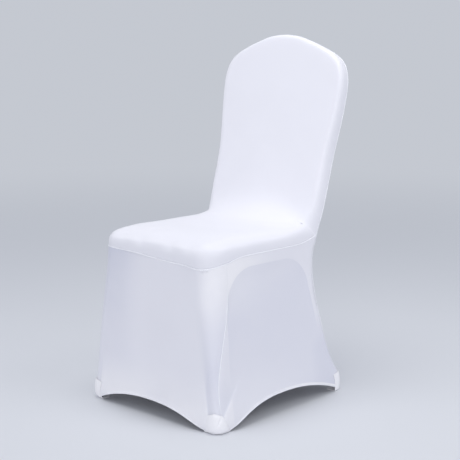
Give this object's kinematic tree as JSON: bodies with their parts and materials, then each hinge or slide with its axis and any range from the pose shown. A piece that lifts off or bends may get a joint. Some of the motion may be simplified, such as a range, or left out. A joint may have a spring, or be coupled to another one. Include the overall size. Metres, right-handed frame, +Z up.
{
  "type": "fitted banquet chair cover",
  "caption": "Fitted stretch-knit cover for a crown-back banquet chair, hollow, with an arched hem and a doubled pocket for each foot.",
  "frame": {"origin": "on the floor under the middle of the cover's bounding box", "axes": "+X across the chair to the right of the picture, -Y the way the sitter faces, +Z up"},
  "size_m": [0.4668, 0.5326, 0.9455],
  "materials": {
    "knit": "smooth satin stretch knit",
    "pocket_knit": "doubled satin stretch knit"
  },
  "bodies": {
    "root": {"inside_back_and_seat": "knit", "outside_back": "knit", "front_skirt": "knit", "right_side_skirt": "knit", "left_side_skirt": "knit", "front_right_foot_pocket": "pocket_knit", "front_left_foot_pocket": "pocket_knit", "back_right_foot_pocket": "pocket_knit", "back_left_foot_pocket": "pocket_knit"}
  },
  "joints": []
}
